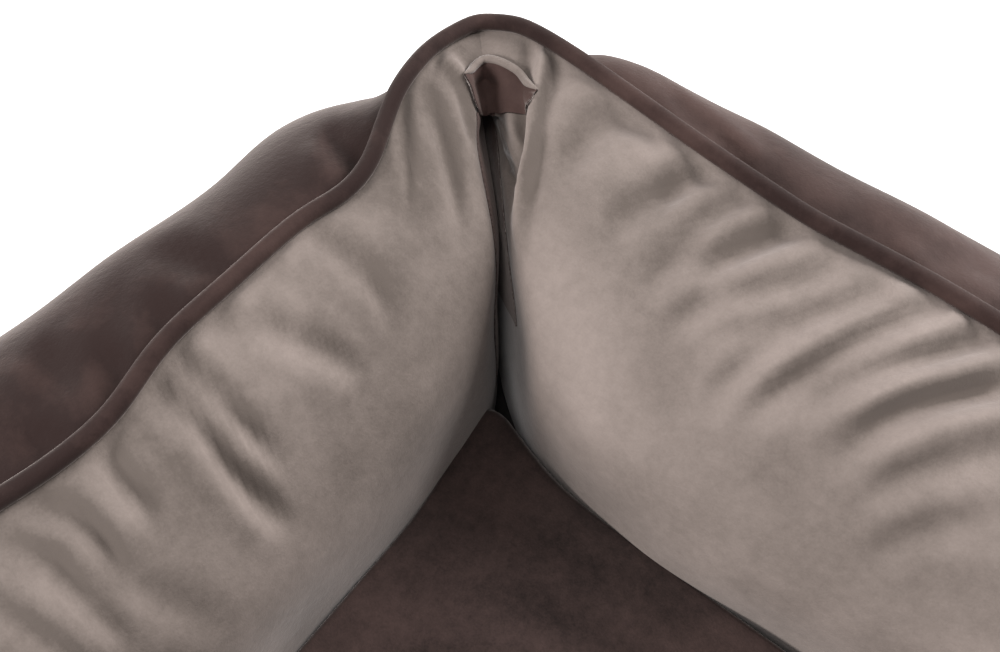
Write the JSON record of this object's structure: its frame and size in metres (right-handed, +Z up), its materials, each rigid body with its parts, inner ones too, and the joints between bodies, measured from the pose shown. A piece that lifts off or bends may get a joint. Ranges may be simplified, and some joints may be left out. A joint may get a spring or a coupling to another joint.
{
  "type": "pet cushion bed",
  "caption": "Rectangular bolster bed for a pet: stuffed velvet walls with a piped top seam and a lowered front, round a lift-out cushion.",
  "frame": {"origin": "centre of the footprint, on the floor", "axes": "+X along the long side, to the right as seen from the lowered front; +Y to the back; +Z up"},
  "size_m": [1, 0.85, 0.21],
  "materials": {
    "base_cloth": "matt coated non-slip base cloth",
    "fibre_filling": "matt white polyester fibre filling",
    "dark_velvet": "short-pile chocolate brown velvet, soft sheen",
    "taupe_velvet": "short-pile taupe velvet, soft sheen",
    "mattress_velvet": "short-pile chocolate brown velvet, soft sheen",
    "piping_cord": "matt twisted cotton cord",
    "label_tape": "matt woven white tape",
    "zip_tape": "matt woven dark brown tape",
    "zip_coil": "satin dark brown nylon",
    "zip_metal": "satin nickel plate"
  },
  "bodies": {
    "walls": {"base_panel": "base_cloth", "front_bolster": "fibre_filling", "right_bolster": "fibre_filling", "rear_bolster": "fibre_filling", "left_bolster": "fibre_filling", "front_outer_panel": "dark_velvet", "right_outer_panel": "dark_velvet", "rear_outer_panel": "dark_velvet", "left_outer_panel": "dark_velvet", "front_inner_panel": "taupe_velvet", "right_inner_panel": "taupe_velvet", "rear_inner_panel": "taupe_velvet", "left_inner_panel": "taupe_velvet", "piping_cover": "dark_velvet", "piping_core_cord": "piping_cord", "care_label": "label_tape", "wall_zip_tapes": "zip_tape", "wall_zip_coil": "zip_coil", "wall_zip_top_stops": "zip_metal", "wall_zip_bottom_stop": "zip_metal"},
    "wall_zip_slider": {"wall_zip_slider": "zip_metal"},
    "wall_zip_pull": {"wall_zip_pull": "zip_metal"},
    "mattress": {"mattress_filling": "fibre_filling", "mattress_top_panel": "mattress_velvet", "mattress_bottom_panel": "mattress_velvet", "mattress_zip_tapes": "zip_tape", "mattress_zip_coil": "zip_coil", "mattress_zip_top_stops": "zip_metal", "mattress_zip_bottom_stop": "zip_metal"},
    "mattress_zip_slider": {"mattress_zip_slider": "zip_metal"},
    "mattress_zip_pull": {"mattress_zip_pull": "zip_metal"}
  },
  "joints": [
    {"name": "mattress_lift", "type": "slide", "parent": "walls", "child": "mattress", "axis": [0, 0, 1], "range_m": [0, 0.3]},
    {"name": "wall_zip_run", "type": "slide", "parent": "walls", "child": "wall_zip_slider", "axis": [-1, 0, 0], "range_m": [0, 0.588]},
    {"name": "wall_pull_swing", "type": "hinge", "parent": "wall_zip_slider", "child": "wall_zip_pull", "pos_m": [0.2942, 0.42155, 0.01919], "axis": [0, -0.5328, -0.8463], "range_deg": [0, 170]},
    {"name": "mattress_zip_run", "type": "slide", "parent": "mattress", "child": "mattress_zip_slider", "axis": [-1, 0, 0], "range_m": [0, 0.428]},
    {"name": "mattress_pull_swing", "type": "hinge", "parent": "mattress_zip_slider", "child": "mattress_zip_pull", "pos_m": [0.2142, 0.23247, 0.0107], "axis": [0, -0.4522, -0.8919], "range_deg": [0, 28]}
  ]
}
